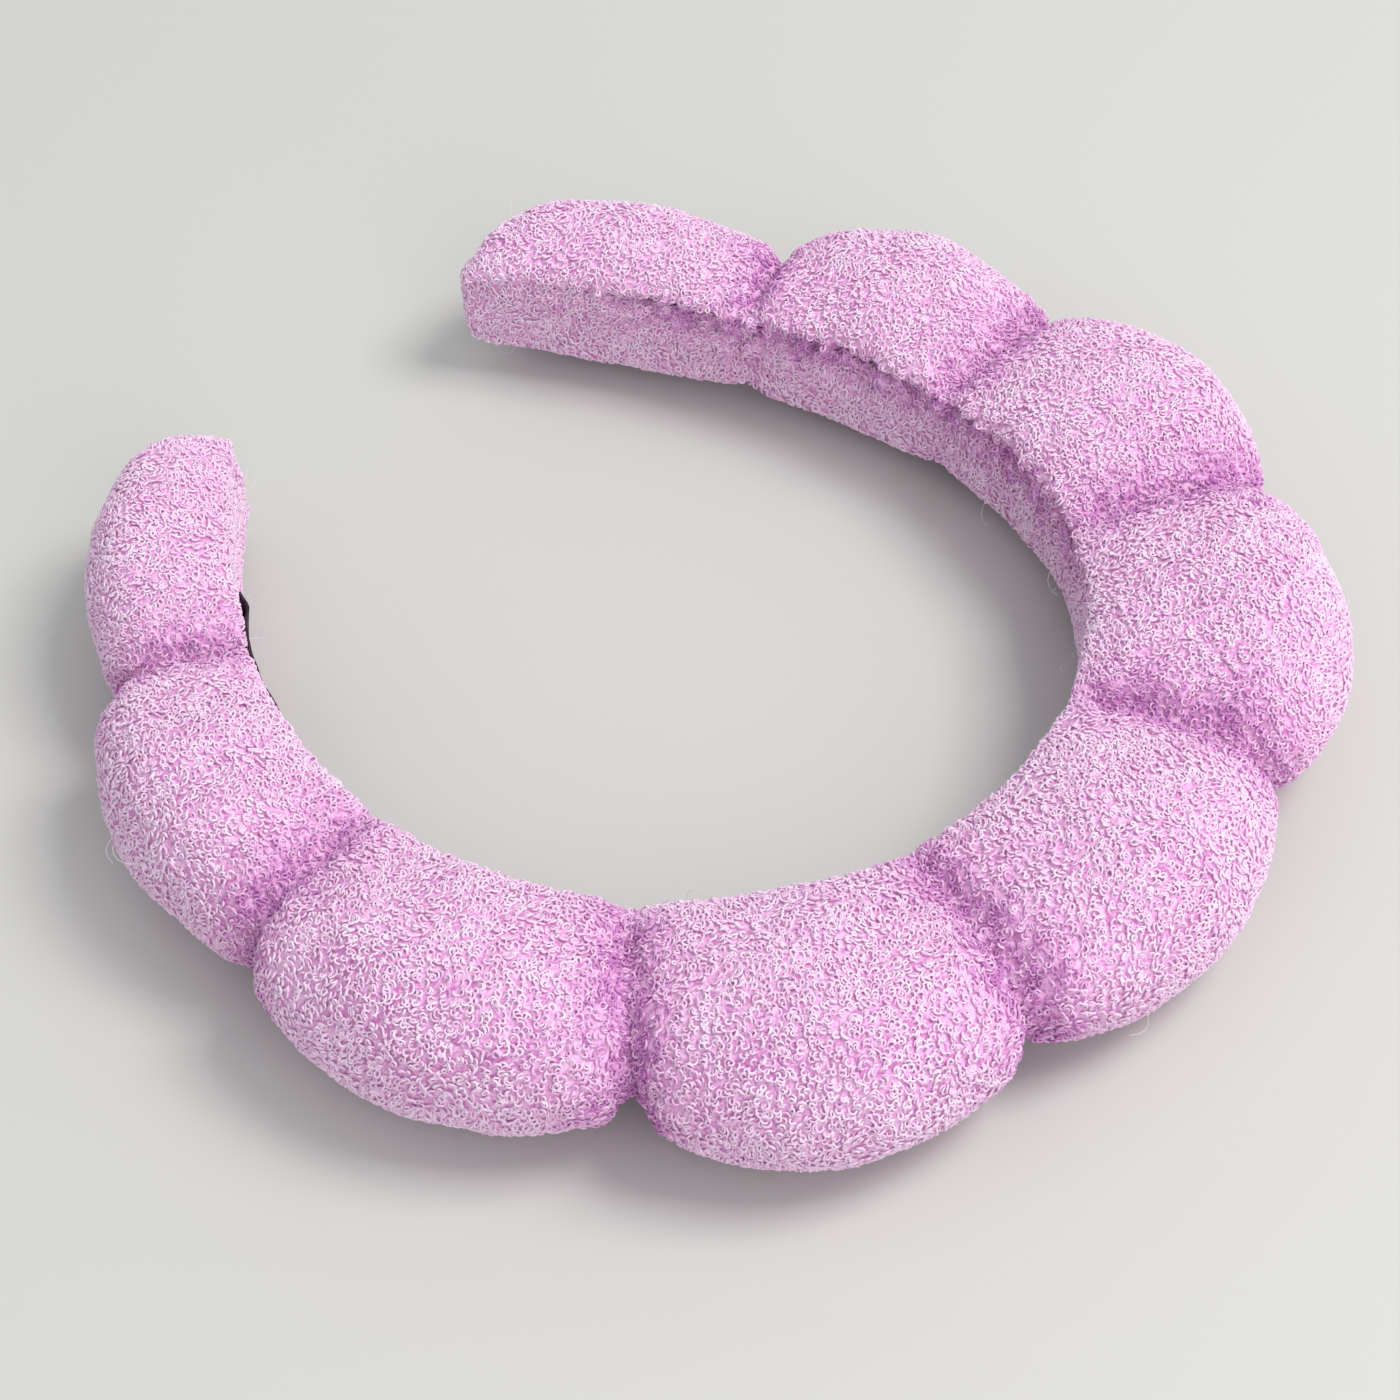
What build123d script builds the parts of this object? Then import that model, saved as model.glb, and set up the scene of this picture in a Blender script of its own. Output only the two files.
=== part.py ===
from build123d import *
import os
from math import cos, radians, sin

# Puffy terry spa headband, lying flat on its side.
#
# Frame: millimetres, +Z up, the resting surface at Z = 0. The crown, which sits on
# top of the head, points to -Y, and the open end between the two arms points to +Y.
# The origin is the middle of the footprint.
#
# The band is nine puffs in a row. The inner face of the lining follows nine tangent
# arcs, one for each puff, and all sections stand square to that line. In a section,
# depth runs outward from the inner face and height runs up.

# ---------------------------------------------------------------- driving dimensions

# One value per puff, from the left tip round the crown to the right tip.
PUFF_NAMES = ["left_4", "left_3", "left_2", "left_1", "crown",
              "right_1", "right_2", "right_3", "right_4"]
PUFF_LENGTHS = [46.5, 43, 40.5, 40.5, 40, 35.5, 37.5, 38, 50]
PUFF_TURNS = [17, 29, 35.5, 38, 39, 34.5, 31.5, 21, 12]
PUFF_DEPTHS = [24, 30, 35.5, 40, 38, 41, 41.5, 36, 27]
PUFF_HEIGHTS = [27, 29, 30, 30, 30, 30, 30, 30, 26]

# One value per crease, as shares of the smaller of its two puffs.
NECK_DEPTH_SHARES = [0.85, 0.86, 0.79, 0.81, 0.79, 0.85, 0.84, 0.82]
NECK_HEIGHT_SHARE = 0.7

CROWN = 4                      # index of the puff at the middle of the band
CROWN_MIDDLE = (-1.6, -57.5)   # inner face at the middle of the crown puff
PRESSED_FLAT = 0.5             # how far the fattest puff is pressed flat where it rests
BELLY_SHARE = 0.6              # depth at which a section is tallest, as a share
SWELL_POWER = 1.7              # higher is flatter along the middle of a puff
SWELL_ROUNDING = 0.6           # lower is steeper beside a crease
WALL_HEIGHT = 14.0             # height of the flat inner wall
BARREL_STATIONS = [-1, -0.85, -0.55, 0, 0.55, 0.85, 1]
TIP_STATIONS = [0, 0.03, 0.1, 0.28, 0.5]
TIP_ROUNDING = 7.0             # length over which a free end rounds off
TIP_DEPTH_SHARE = 0.6
TIP_HEIGHT_SHARE = 0.85
TIP_END_SHARES = (0.5, 0.8)    # the end face against the tip, in depth and height

COVER_THICKNESS = 2.0          # terry cloth with its pile
LINING_THICKNESS = 2.0
LIP_HEIGHT = 1.0               # turned edge of the cover along each seam
HOOP_THICKNESS = 1.6
HOOP_HEIGHT = 9.0
SEAM_THREAD_DIAMETER = 0.6
TIE_DIAMETER = 0.5

CREASE_FLEX = [2.0, 3.5, 5.0, 6.0, 6.0, 5.0, 3.5, 2.0]   # widest opening, degrees
CREASE_GAP = 0.5               # from a crease plane to the end of each puff
STRIP_GAP = 0.2                # the same for the lining, the hoop and the seam threads
FIT_GAP = 0.2                  # between the layers of one puff
PAD_GAP = 0.4                  # between a pad and its cover

TIP_CAP = 2.4                  # solid cover at each free end, where the strips stop
LEAST_SHOULDER = 0.4           # least rise of a section from its wall to its top
SLOT_REACH = 1.0               # how far the cavity's cut runs out past the inner face

LABEL_LENGTH = 30.0
LABEL_HEIGHT = 9.0
LABEL_RISE = 1.0               # label's middle above the lining's middle
LABEL_GAP = 0.3
LABEL_THICKNESS = 0.4
LABEL_PUFF = "left_3"
LABEL_OVERHANG = 14.0          # how far the label reaches past the crease at the tip side

# ---------------------------------------------------------------- derived dimensions

PUFF_COUNT = len(PUFF_NAMES)
CENTRE_HEIGHT = max(PUFF_HEIGHTS) / 2 - PRESSED_FLAT
LIP_HALF = WALL_HEIGHT / 2 - LIP_HEIGHT
SEAM_THREAD_HEIGHT = LIP_HALF - FIT_GAP - SEAM_THREAD_DIAMETER / 2
LINING_HALF = SEAM_THREAD_HEIGHT - SEAM_THREAD_DIAMETER / 2 - FIT_GAP
HOOP_FACE = LINING_THICKNESS + FIT_GAP
HINGE_DEPTH = HOOP_FACE + HOOP_THICKNESS / 2
FOAM_FACE = HOOP_FACE + HOOP_THICKNESS + FIT_GAP

os.makedirs("parts", exist_ok=True)


# ---------------------------------------------------------------- the band's line

class Station:
    """A place on the inner face: its point and the direction the band runs there."""

    def __init__(self, x, y, heading):
        self.x, self.y, self.heading = x, y, heading

    def along(self, length, turn):
        """The station further on, where the band has turned by so many degrees."""
        if length == 0:
            return self
        end = self.heading + turn
        radius = length / radians(turn)
        x = self.x + radius * (sin(radians(end)) - sin(radians(self.heading)))
        y = self.y - radius * (cos(radians(end)) - cos(radians(self.heading)))
        return Station(x, y, end)

    def plane(self, tilt=0, shift=0):
        """Section plane, X outward and Y up, tilted about the hinge and then shifted."""
        outward = Vector(sin(radians(self.heading)), -cos(radians(self.heading)), 0)
        forward = Vector(cos(radians(self.heading)), sin(radians(self.heading)), 0)
        pivot = Vector(self.x, self.y, CENTRE_HEIGHT) + outward * HINGE_DEPTH + forward * shift
        outward = outward.rotate(Axis.Z, tilt)
        forward = forward.rotate(Axis.Z, tilt)
        return Plane(pivot - outward * HINGE_DEPTH, x_dir=outward, z_dir=-forward)


def crease_stations():
    """Stations at the two tips and the eight creases, from left to right."""
    middle = Station(*CROWN_MIDDLE, 0)
    half_length, half_turn = PUFF_LENGTHS[CROWN] / 2, PUFF_TURNS[CROWN] / 2
    left = [middle.along(-half_length, -half_turn)]
    for puff in range(CROWN - 1, -1, -1):
        left.append(left[-1].along(-PUFF_LENGTHS[puff], -PUFF_TURNS[puff]))
    right = [middle.along(half_length, half_turn)]
    for puff in range(CROWN + 1, PUFF_COUNT):
        right.append(right[-1].along(PUFF_LENGTHS[puff], PUFF_TURNS[puff]))
    return left[::-1] + right


STATIONS = crease_stations()


def station_in_puff(puff, travel):
    """The station at a share of one puff's length, from its left end."""
    return STATIONS[puff].along(PUFF_LENGTHS[puff] * travel, PUFF_TURNS[puff] * travel)


# ---------------------------------------------------------------- the puffs' shape

def neck_size(crease):
    """Depth and height of the band in a crease, counted from 0."""
    depth = min(PUFF_DEPTHS[crease], PUFF_DEPTHS[crease + 1]) * NECK_DEPTH_SHARES[crease]
    height = min(PUFF_HEIGHTS[crease], PUFF_HEIGHTS[crease + 1]) * NECK_HEIGHT_SHARE
    return depth, height


def swell(share):
    """How far a puff has swollen from neck to full size, at -1 to 1 along it."""
    return (1 - abs(share) ** SWELL_POWER) ** SWELL_ROUNDING


def mix(low, high, share):
    return low + (high - low) * share


def puff_size(puff, share):
    """Depth and height of one puff, at a share from -1 to 1 of its length."""
    full = (PUFF_DEPTHS[puff], PUFF_HEIGHTS[puff])
    at_tip = (puff == 0 and share < 0) or (puff == PUFF_COUNT - 1 and share > 0)
    if not at_tip:
        neck = neck_size(puff - 1 if share < 0 else min(puff, PUFF_COUNT - 2))
        return [mix(n, f, swell(share)) for n, f in zip(neck, full)]
    tip = (full[0] * TIP_DEPTH_SHARE, full[1] * TIP_HEIGHT_SHARE)
    depth, height = [mix(t, f, swell(share)) for t, f in zip(tip, full)]
    from_end = (1 - abs(share)) / 2 * PUFF_LENGTHS[puff]
    rounding = (1 - max(0, 1 - from_end / TIP_ROUNDING) ** 2) ** 0.5
    return [size * mix(end, 1, rounding) for size, end in zip((depth, height), TIP_END_SHARES)]


def outline(plane, depth, height, face, wall_half, slot=False):
    """D-shaped section: a flat inner wall at the depth "face", and a round outer side.

    With a slot, the outline also reaches through the inner face, to cut a cavity open.
    """
    belly = face + (depth - face) * BELLY_SHARE
    wall_half = min(wall_half, height / 2 - LEAST_SHOULDER)
    shoulder = height / 2 - wall_half
    with BuildSketch(plane) as section:
        with BuildLine():
            EllipticalCenterArc((belly, 0), depth - belly, height / 2, -90, arc_size=180)
            EllipticalCenterArc((belly, wall_half), belly - face, shoulder, 90, arc_size=90)
            EllipticalCenterArc((belly, -wall_half), belly - face, shoulder, 180, arc_size=90)
            if slot:
                Polyline((face, wall_half), (-SLOT_REACH, wall_half),
                         (-SLOT_REACH, -wall_half), (face, -wall_half))
            else:
                Line((face, wall_half), (face, -wall_half))
        make_face()
    return section.sketch


def puff_sections(puff, inset, face, wall_half, tip_inset=0, slot=False):
    """Sections along one puff, each drawn in from the puff's outside by "inset"."""
    shares = list(BARREL_STATIONS)
    if puff == 0:
        shares = [2 * at - 1 for at in TIP_STATIONS] + [at for at in shares if at > 0]
    if puff == PUFF_COUNT - 1:
        shares = [at for at in shares if at < 0] + [1 - 2 * at for at in reversed(TIP_STATIONS)]
    sections = []
    for share in shares:
        depth, height = puff_size(puff, share)
        travel = (share + 1) / 2
        if puff == 0 and share < 0:
            travel = mix(tip_inset / PUFF_LENGTHS[puff], 0.5, share + 1)
        if puff == PUFF_COUNT - 1 and share > 0:
            travel = 1 - mix(tip_inset / PUFF_LENGTHS[puff], 0.5, 1 - share)
        plane = station_in_puff(puff, travel).plane()
        if share == -1 and puff > 0:
            plane = STATIONS[puff].plane(CREASE_FLEX[puff - 1] / 2, CREASE_GAP)
        if share == 1 and puff < PUFF_COUNT - 1:
            plane = STATIONS[puff + 1].plane(-CREASE_FLEX[puff] / 2, -CREASE_GAP)
        sections.append(outline(plane, depth - inset, height - 2 * inset, face, wall_half, slot))
    return sections


def strip_path(puff, depth, height):
    """Arc along one puff at a depth and a height, clear of the neighbouring puffs."""
    length = PUFF_LENGTHS[puff]
    start_trim = TIP_CAP if puff == 0 else STRIP_GAP
    end_trim = TIP_CAP if puff == PUFF_COUNT - 1 else STRIP_GAP
    start = station_in_puff(puff, start_trim / length)
    turn = PUFF_TURNS[puff] * (length - start_trim - end_trim) / length
    radius = length / radians(PUFF_TURNS[puff]) + depth
    point = start.plane().from_local_coords(Vector(depth, height, 0))
    tangent = (cos(radians(start.heading)), sin(radians(start.heading)), 0)
    return start, JernArc(point, tangent, radius, turn, mode=Mode.PRIVATE)


# ---------------------------------------------------------------- the pieces of one puff

def make_foam(puff, name):
    """Sponge pad that fills the puff."""
    inset = COVER_THICKNESS + PAD_GAP
    with BuildPart() as foam:
        loft(puff_sections(puff, inset, FOAM_FACE, LIP_HALF - PAD_GAP, TIP_CAP + PAD_GAP))
    foam.part.label = f"foam_{name}"
    return foam.part


def make_cover(puff, name):
    """Terry pocket round the pad, open along the inner face and pressed flat below."""
    with BuildPart() as cover:
        loft(puff_sections(puff, 0, 0, WALL_HEIGHT / 2))
        loft(puff_sections(puff, COVER_THICKNESS, HOOP_FACE, LIP_HALF, TIP_CAP - FIT_GAP, slot=True),
             mode=Mode.SUBTRACT)
        split(bisect_by=Plane.XY, keep=Keep.TOP)
    cover.part.label = f"cover_{name}"
    return cover.part


def make_strip(puff, name, kind, depth, thickness, height):
    """Flat strip that follows the band, such as the lining or the hoop."""
    start, path = strip_path(puff, depth, 0)
    with BuildPart() as strip:
        with BuildSketch(Plane(path @ 0, x_dir=start.plane().x_dir, z_dir=path % 0)):
            Rectangle(thickness, height)
        sweep(path=path)
    strip.part.label = f"{kind}_{name}"
    return strip.part


def make_seam_threads(puff, name):
    """The thread of the top seam and of the bottom seam, beside the lining's edges."""
    with BuildPart() as threads:
        for height in (SEAM_THREAD_HEIGHT, -SEAM_THREAD_HEIGHT):
            start, path = strip_path(puff, LINING_THICKNESS / 2, height)
            with BuildSketch(Plane(path @ 0, z_dir=path % 0)) as end:
                Circle(SEAM_THREAD_DIAMETER / 2)
            sweep(sections=end.sketch, path=path)
    threads.part.label = f"seam_threads_{name}"
    return threads.part


# ---------------------------------------------------------------- ties and label

def make_tie(crease):
    """Thread round the neck, from seam to seam, that cinches one crease.

    It lies against the puff on the crown's side, so that the crease can close on it.
    """
    towards_crown = -0.5 if crease >= CROWN else 0.5
    depth, height = neck_size(crease)
    depth -= COVER_THICKNESS / 2
    height -= COVER_THICKNESS
    belly = FOAM_FACE + (depth - FOAM_FACE) * BELLY_SHARE
    shoulder = height / 2 - LIP_HALF
    plane = STATIONS[crease + 1].plane(towards_crown * CREASE_FLEX[crease])
    with BuildPart() as tie:
        with BuildLine(plane) as loop:
            EllipticalCenterArc((belly, LIP_HALF), belly - FOAM_FACE, shoulder, 90, arc_size=90)
            EllipticalCenterArc((belly, 0), depth - belly, height / 2, -90, arc_size=180)
            EllipticalCenterArc((belly, -LIP_HALF), belly - FOAM_FACE, shoulder, 180, arc_size=90)
        path = loop.wire()
        with BuildSketch(Plane(path @ 0, z_dir=path % 0)):
            Circle(TIE_DIAMETER / 2)
        sweep(path=path)
    tie.part.label = f"tie_{crease + 1}"
    return tie.part


def make_label():
    """Small blank woven label on the lining. Its far end runs past a crease and is free."""
    puff = PUFF_NAMES.index(LABEL_PUFF)
    length = PUFF_LENGTHS[puff]
    depth = -LABEL_GAP - LABEL_THICKNESS / 2
    start = station_in_puff(puff, -LABEL_OVERHANG / length)
    radius = length / radians(PUFF_TURNS[puff]) + depth
    point = start.plane().from_local_coords(Vector(depth, LABEL_RISE, 0))
    tangent = (cos(radians(start.heading)), sin(radians(start.heading)), 0)
    with BuildPart() as label:
        with BuildLine() as edge:
            JernArc(point, tangent, radius, PUFF_TURNS[puff] * LABEL_LENGTH / length)
        path = edge.wire()
        with BuildSketch(Plane(path @ 0, x_dir=start.plane().x_dir, z_dir=path % 0)):
            Rectangle(LABEL_THICKNESS, LABEL_HEIGHT)
        sweep(path=path)
    label.part.label = "label"
    return label.part


# ---------------------------------------------------------------- make and write

def write(piece):
    export_step(piece, f"parts/{piece.label}.step")
    print(piece.label, round(piece.volume), "mm3")


for puff, name in enumerate(PUFF_NAMES):
    write(make_foam(puff, name))
    write(make_cover(puff, name))
    write(make_strip(puff, name, "lining", LINING_THICKNESS / 2, LINING_THICKNESS, 2 * LINING_HALF))
    write(make_strip(puff, name, "hoop", HINGE_DEPTH, HOOP_THICKNESS, HOOP_HEIGHT))
    write(make_seam_threads(puff, name))

for crease in range(PUFF_COUNT - 1):
    write(make_tie(crease))

write(make_label())

for crease in range(PUFF_COUNT - 1):
    hinge = STATIONS[crease + 1].plane().from_local_coords(Vector(HINGE_DEPTH, 0, 0))
    print("crease", crease + 1, "hinge at", round(hinge.X, 2), round(hinge.Y, 2))
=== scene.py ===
import math

import bpy
import numpy as np
from mathutils import Matrix, Vector


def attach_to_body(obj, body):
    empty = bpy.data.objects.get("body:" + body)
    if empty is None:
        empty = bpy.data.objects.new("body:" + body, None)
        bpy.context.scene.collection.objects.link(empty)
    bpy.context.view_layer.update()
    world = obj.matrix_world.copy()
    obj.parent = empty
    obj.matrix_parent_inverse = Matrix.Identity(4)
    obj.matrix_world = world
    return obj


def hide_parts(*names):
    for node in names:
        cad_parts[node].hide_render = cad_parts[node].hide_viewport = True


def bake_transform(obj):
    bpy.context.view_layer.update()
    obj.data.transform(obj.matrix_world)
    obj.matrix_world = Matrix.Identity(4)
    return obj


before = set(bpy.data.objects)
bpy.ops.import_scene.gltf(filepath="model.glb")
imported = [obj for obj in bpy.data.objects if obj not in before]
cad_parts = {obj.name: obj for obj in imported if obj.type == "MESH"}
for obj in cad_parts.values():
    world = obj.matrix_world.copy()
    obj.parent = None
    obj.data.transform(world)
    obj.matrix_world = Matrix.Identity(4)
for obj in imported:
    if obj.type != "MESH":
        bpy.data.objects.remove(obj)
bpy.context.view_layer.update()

# The band's lengths are in millimetres, and turn into metres as each mesh is made. Lights, camera
# and materials are in metres.
MM = 0.001

# ------------------------------------------------------------------ the band's sizes
# The band is nine puffs, from the left tip round the crown to the right tip. A "place" is a
# number from 0 at the left tip to 9 at the right tip, whole at each crease. Depth runs outward
# from the inner face, and height runs up from the band's middle.

PUFF_NAMES = ["left_4", "left_3", "left_2", "left_1", "crown",
              "right_1", "right_2", "right_3", "right_4"]
PUFF_LENGTHS = [46.5, 43, 40.5, 40.5, 40, 35.5, 37.5, 38, 50]
PUFF_TURNS = [17, 29, 35.5, 38, 39, 34.5, 31.5, 21, 12]
PUFF_DEPTHS = [24, 30, 35.5, 40, 38, 41, 41.5, 36, 27]
PUFF_HEIGHTS = [27, 29, 30, 30, 30, 30, 30, 30, 26]
NECK_DEPTH_SHARES = [0.85, 0.86, 0.79, 0.81, 0.79, 0.85, 0.84, 0.82]
NECK_HEIGHT_SHARES = [0.55, 0.66, 0.64, 0.62, 0.55, 0.62, 0.60, 0.73]
LEANS = [0, -0.8, 2.3, 9.5, 1.3, -1.4, 7.4, 0.5, 2.3, 0]   # degrees, at the tips and creases

PUFFS = len(PUFF_NAMES)
CROWN = 4
CROWN_MIDDLE = (-1.6, -57.5)
CENTRE_HEIGHT = 14.5
WALL_HALF = 5.9              # half the height of the flat inner wall
SHOULDER = 1.0               # the least that a puff stands above its wall
BELLY_SHARE = 0.6            # a puff is tallest at this share of its depth
EQUATOR_SHARE = 0.42         # of the way round from the outermost line to a seam, to the tallest line
SWELL_POWERS = ((1.65, 0.57), (1.5, 0.78))   # how depth and height grow from a crease
CREASE_FADE = (0.5, 0.97)    # from here to here on the way to a seam, the creases fade out
FADED_SWELL = 0.35           # how little a faded crease narrows the band
TIP_ROUNDINGS = (6.0, 11.0)  # how far from its end a free tip starts to round, left and right
TIP_SHARES = (0.6, 0.85)     # a free end against its puff, in depth and height
TIP_END_SHARES = ((0.62, 0.48), (0.86, 0.66))   # the same at its very end, left and right
TIP_CAP = 2.6                # how far the closed end bulges past its last ring
TIP_MIDDLE_DEPTHS = (7.5, 8.5)   # where each closed end comes to its point
TIP_MIDDLE_HEIGHT = -1.5
PILE_ROOM = 0.7              # the cloth lies this far inside the pile's outer surface
SEAM_EASE = 0.85             # from this far round to a seam, the cover eases into line with the lining
LINING_BULGE = 0.6           # how much of the pile's room the lining fills between the seams

COLUMNS = 44                 # mesh cells to a puff
COVER_ROWS = 100             # mesh cells round the cover, from the bottom seam to the top seam
LINING_ROWS = 16
CAP_RINGS = 12

GROOVE_DEPTH = 1.5           # the cinched line at the bottom of each crease
GROOVE_WIDTH = 2.2
GROOVE_SLACK = 0.8           # how much shallower the cinched line is at a seam
SLACK_START = 0.7            # from this far round to a seam, a crease slackens
FOLD_DEPTH = 0.22            # small folds that run into each crease
FOLD_REACH = 5.0
FOLD_SPACING = 4.5
DENT_DEPTH = 0.14            # soft dents all over
DENT_SPACING = 16
FINE_DENT_DEPTH = 0.05
FINE_DENT_SPACING = 6
COVER_GIRTH = 92.0           # round the cover, from seam to seam
GATHER_PLACES = ((5.3, 6.2), (8.2, 8.8))     # the gathered seam starts and dies out between these
SEAM_DEPTH = 1.2             # the gathered top seam of the right arm
SEAM_WIDTH = 2.6
SEAM_GATHER = 0.75
GATHER_REACH = 4.5
GATHER_SPACING = 3.2
PLAIN_SEAM = 0.12            # how much of that a plain seam has
SEAM_WANDER = 0.9
SEAM_WANDER_SPACING = 15
SHADE_WIDTH = 5.2            # loops this near a crease get a deeper tone: painted shade in the crease
SHADE_SLACK = 0.6            # how much less so at a seam
SEAM_SHADE_WIDTH = 5.0       # the same painted shade for the gathered seam
FLOOR_GAP = 0.5              # the cloth stays this far above the floor, for the pile

LABEL_SPAN = (0.69, 1.375)   # places, either side of the first crease
BARE_PLACES = (0.70, 1.355)  # the patch under the label, where the lining has no loops
BARE_ROWS = (0.09, 0.80)     # how far down the lining, from the top seam to the bottom one

SEED = 20                    # each kind of noise and each piece of pile adds its own number


# ------------------------------------------------------------------ small helpers

def mix(low, high, share):
    return low + (high - low) * share


def ramp(value, start, end):
    """Smooth step from 0 at start to 1 at end."""
    t = np.clip((value - start) / (end - start), 0, 1)
    return t * t * (3 - 2 * t)


def wave_noise(points, wavelength, seed, waves=12):
    """Smooth noise of about -1 to 1: a sum of plane waves of about one wavelength."""
    rng = np.random.default_rng(seed)
    total = np.zeros(points.shape[:-1])
    for _ in range(waves):
        direction = rng.normal(size=3)
        direction /= np.linalg.norm(direction)
        stretch = wavelength * rng.uniform(0.7, 1.4)
        total += np.sin(points @ direction * (2 * math.pi / stretch) + rng.uniform(0, 2 * math.pi))
    return total / math.sqrt(waves / 2)


def unit(vectors):
    return vectors / np.maximum(np.linalg.norm(vectors, axis=-1, keepdims=True), 1e-9)


# ------------------------------------------------------------------ the band's line

def crease_stations():
    """Point and heading (radians) at the left tip, the eight creases and the right tip."""
    def along(station, length, turn):
        x, y, heading = station
        end = heading + math.radians(turn)
        radius = length / math.radians(turn)
        return (x + radius * (math.sin(end) - math.sin(heading)),
                y - radius * (math.cos(end) - math.cos(heading)), end)

    middle = (*CROWN_MIDDLE, 0.0)
    left = [along(middle, -PUFF_LENGTHS[CROWN] / 2, -PUFF_TURNS[CROWN] / 2)]
    for puff in range(CROWN - 1, -1, -1):
        left.append(along(left[-1], -PUFF_LENGTHS[puff], -PUFF_TURNS[puff]))
    right = [along(middle, PUFF_LENGTHS[CROWN] / 2, PUFF_TURNS[CROWN] / 2)]
    for puff in range(CROWN + 1, PUFFS):
        right.append(along(right[-1], PUFF_LENGTHS[puff], PUFF_TURNS[puff]))
    return np.array(left[::-1] + right)


STATIONS = crease_stations()


def puff_at(place):
    return np.clip(np.floor(place), 0, PUFFS - 1).astype(int)


def band_line(place):
    """Inner face points, outward directions and forward directions at places."""
    puff = puff_at(place)
    x0, y0, start = STATIONS[puff].T if np.ndim(place) == 1 else np.moveaxis(STATIONS[puff], -1, 0)
    turn = np.radians(np.array(PUFF_TURNS, float))[puff]
    radius = np.array(PUFF_LENGTHS, float)[puff] / turn
    heading = start + turn * (place - puff)
    x = x0 + radius * (np.sin(heading) - np.sin(start))
    y = y0 - radius * (np.cos(heading) - np.cos(start))
    share = ramp(place - puff, 0, 1)
    lean = np.radians(mix(np.array(LEANS)[puff], np.array(LEANS)[puff + 1], share))
    outward = np.stack([np.sin(heading + lean), -np.cos(heading + lean)], -1)
    forward = np.stack([np.cos(heading), np.sin(heading)], -1)
    return np.stack([x, y], -1), outward, forward


def placed(place, depth, height, cap=0.0):
    """Points for depths and heights at places. cap, from 0 to 1, closes a free end to a point."""
    point, outward, forward = band_line(place)
    end_depth = np.where(place < 1, *TIP_MIDDLE_DEPTHS)
    shrink, bulge = np.cos(cap * math.pi / 2), np.sin(cap * math.pi / 2) * TIP_CAP
    depth = mix(end_depth, depth, shrink)
    height = mix(TIP_MIDDLE_HEIGHT, height, shrink)
    past = np.where(place < 1, -bulge, bulge)
    flat = point + outward * depth[..., None] + forward * past[..., None]
    return np.concatenate([flat, (CENTRE_HEIGHT + height)[..., None]], -1)


# ------------------------------------------------------------------ the puffs' shape

def section_sizes(place, seam_nearness):
    """Depth and height of the band at each place. Creases fade out towards the seams."""
    puff = puff_at(place)
    share = (place - puff) * 2 - 1
    fade = ramp(seam_nearness, *CREASE_FADE)
    at_tip = ((puff == 0) & (share < 0)) | ((puff == PUFFS - 1) & (share > 0))
    crease = np.clip(np.where(share < 0, puff - 1, puff), 0, PUFFS - 2)
    from_end = (1 - np.abs(share)) / 2 * np.array(PUFF_LENGTHS, float)[puff]
    right = (puff > CROWN).astype(int)
    rounding = np.sqrt(1 - np.clip(1 - from_end / np.array(TIP_ROUNDINGS)[right], 0, 1) ** 2)
    sizes = []
    for full, necks, tip, end, powers in zip((PUFF_DEPTHS, PUFF_HEIGHTS),
                                             (NECK_DEPTH_SHARES, NECK_HEIGHT_SHARES),
                                             TIP_SHARES, TIP_END_SHARES, SWELL_POWERS):
        full = np.array(full, float)
        swell = np.clip(1 - np.abs(share) ** powers[0], 0, 1) ** powers[1]
        swell = mix(swell, FADED_SWELL + (1 - FADED_SWELL) * swell, fade)
        neck = np.minimum(full[crease], full[crease + 1]) * np.array(necks)[crease]
        low = np.where(at_tip, full[puff] * tip, neck)
        size = mix(low, full[puff], swell)
        sizes.append(np.where(at_tip, size * mix(np.array(end)[right], 1, rounding), size))
    return sizes


def cover_points(place, around, cap):
    """Points of the cover. around runs from 0, the bottom seam, over the outside to 1."""
    side = np.sign(around - 0.5 + 1e-9)
    nearness = np.abs(around - 0.5) * 2
    depth, height = section_sizes(place, nearness)
    depth, half = depth - PILE_ROOM, height / 2 - PILE_ROOM
    belly = depth * BELLY_SHARE
    outer = np.clip(nearness / EQUATOR_SHARE, 0, 1) * math.pi / 2
    inner = np.clip((nearness - EQUATOR_SHARE) / (1 - EQUATOR_SHARE), 0, 1) * math.pi / 2
    outside = nearness < EQUATOR_SHARE
    across = np.where(outside, belly + (depth - belly) * np.cos(outer), belly * (1 - np.sin(inner)))
    wall = np.minimum(WALL_HALF, half - SHOULDER)
    up = np.where(outside, half * np.sin(outer), wall + (half - wall) * np.cos(inner))
    across = across + PILE_ROOM * ramp(nearness, SEAM_EASE, 1)
    return placed(place, across, side * up, cap)


def lining_points(place, down, cap):
    """Points of the lining. down runs from 0, the top seam, to 1, the bottom seam."""
    _, height = section_sizes(place, np.ones_like(place))
    wall = np.minimum(WALL_HALF, height / 2 - PILE_ROOM - SHOULDER)
    bulge = np.sin(down * math.pi) ** 0.5
    return placed(place, PILE_ROOM * (1 - LINING_BULGE * bulge), wall * (1 - 2 * down), cap)


# ------------------------------------------------------------------ grids over the whole band

def band_grid(points_of, rows):
    """A grid of points over the whole band, with a closed cap past each tip, and its places."""
    cap_in = np.linspace(1, 0, CAP_RINGS, endpoint=False)
    places = np.concatenate([np.zeros(CAP_RINGS),
                             np.linspace(0, PUFFS, PUFFS * COLUMNS + 1),
                             np.full(CAP_RINGS, float(PUFFS))])
    caps = np.concatenate([cap_in, np.zeros(PUFFS * COLUMNS + 1), cap_in[::-1]])
    shares = np.linspace(0, 1, rows + 1)
    place = np.repeat(places[:, None], rows + 1, 1)
    cap = np.repeat(caps[:, None], rows + 1, 1)
    share = np.repeat(shares[None], len(places), 0)
    return points_of(place, share, cap), place, share


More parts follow.
